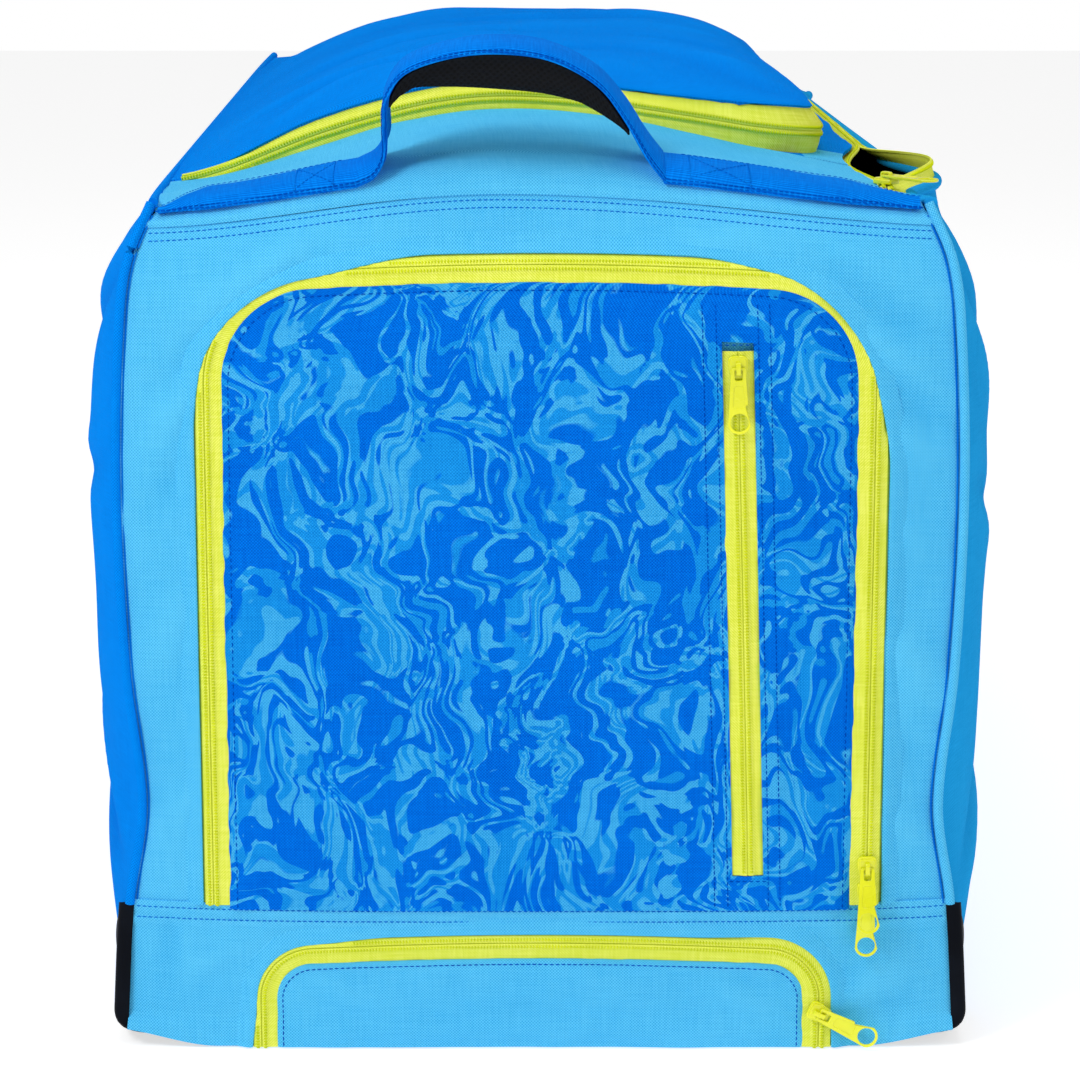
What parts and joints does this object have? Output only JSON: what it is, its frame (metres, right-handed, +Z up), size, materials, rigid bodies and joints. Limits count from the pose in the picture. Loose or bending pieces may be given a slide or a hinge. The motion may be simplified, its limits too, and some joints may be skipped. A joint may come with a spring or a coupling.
{
  "type": "wheeled kit bag",
  "caption": "Long wheeled sports kit bag in two blues: hollow cloth shell, zipped end and lid pockets, part-open main zip, padded haul handle, stiff base with rails and wheels",
  "frame": {"origin": "on the floor, under the middle of the bag", "axes": "+Z up, +Y along the bag towards the wheels, handle end at -Y, open main zip on the +X side"},
  "size_m": [0.5088, 0.9896, 0.5609],
  "materials": {
    "light_cloth": "woven polyester, matte",
    "mid_cloth": "woven polyester, matte",
    "print_cloth": "marbled print in two blues, matte",
    "zip_tape": "woven zip tape",
    "zip_pull": "painted zip slider and pull",
    "air_mesh": "open air mesh over foam",
    "moulded_black": "moulded plastic, fine grain",
    "axle_steel": "plain steel pin",
    "wheel_rubber": "soft wheel tread"
  },
  "bodies": {
    "shell": {"front_panel": "light_cloth", "front_lower_panel": "light_cloth", "yoke": "light_cloth", "back_panel": "light_cloth", "right_side": "light_cloth", "arch_flap": "light_cloth", "piping_front_right": "light_cloth", "piping_back_right": "light_cloth", "left_side": "mid_cloth", "top_panel": "mid_cloth", "lid_pocket": "mid_cloth", "haul_strap": "mid_cloth", "piping_front_left": "mid_cloth", "piping_back_left": "mid_cloth", "piping_top_left": "mid_cloth", "front_pocket": "print_cloth", "lid_gusset": "zip_tape", "mouth_tape_side": "zip_tape", "mouth_tape_top": "zip_tape", "pocket_zip": "zip_tape", "upright_zip": "zip_tape", "arch_zip": "zip_tape", "slider_upright": "zip_pull", "slider_pocket_upper": "zip_pull", "slider_pocket_lower": "zip_pull", "slider_arch": "zip_pull", "slider_main": "zip_pull", "grip_pad": "air_mesh", "base_board": "moulded_black", "rail_left": "moulded_black", "rail_right": "moulded_black", "guard_left": "moulded_black", "guard_right": "moulded_black", "housing_left": "moulded_black", "housing_right": "moulded_black", "axle_left": "axle_steel", "axle_right": "axle_steel"},
    "pull_upright": {"pull_upright": "zip_pull"},
    "pull_pocket_upper": {"pull_pocket_upper": "zip_pull"},
    "pull_pocket_lower": {"pull_pocket_lower": "zip_pull"},
    "pull_arch": {"pull_arch": "zip_pull"},
    "pull_main": {"pull_main": "zip_pull"},
    "wheel_left": {"wheel_left": "wheel_rubber"},
    "wheel_right": {"wheel_right": "wheel_rubber"}
  },
  "joints": [
    {"name": "pull_upright_swing", "type": "hinge", "parent": "shell", "child": "pull_upright", "pos_m": [0.10531, -0.48737, 0.386], "axis": [-0.9995, 0, -0.0308], "range_deg": [0, 150]},
    {"name": "pull_pocket_upper_swing", "type": "hinge", "parent": "shell", "child": "pull_pocket_upper", "pos_m": [0.17978, -0.48148, 0.1065], "axis": [-1, 0, 0], "range_deg": [0, 130]},
    {"name": "pull_pocket_lower_swing", "type": "hinge", "parent": "shell", "child": "pull_pocket_lower", "pos_m": [0.17978, -0.48155, 0.0916], "axis": [-1, 0, 0], "range_deg": [0, 130]},
    {"name": "pull_arch_swing", "type": "hinge", "parent": "shell", "child": "pull_arch", "pos_m": [0.15503, -0.48009, 0.022], "axis": [-0.4392, 0, -0.8984], "range_deg": [0, 150]},
    {"name": "pull_main_swing", "type": "hinge", "parent": "shell", "child": "pull_main", "pos_m": [0.18984, -0.40188, 0.47864], "axis": [-0.7311, -0.6823, 0], "range_deg": [0, 150]},
    {"name": "wheel_left_roll", "type": "hinge", "parent": "shell", "child": "wheel_left", "pos_m": [-0.18497, 0.45512, 0.04], "axis": [1, 0, 0], "continuous": true},
    {"name": "wheel_right_roll", "type": "hinge", "parent": "shell", "child": "wheel_right", "pos_m": [0.18503, 0.45512, 0.04], "axis": [1, 0, 0], "continuous": true}
  ],
  "couplings": [
    {"joint": "pull_pocket_upper_swing", "follows": "pull_pocket_lower_swing", "ratio": 1}
  ]
}
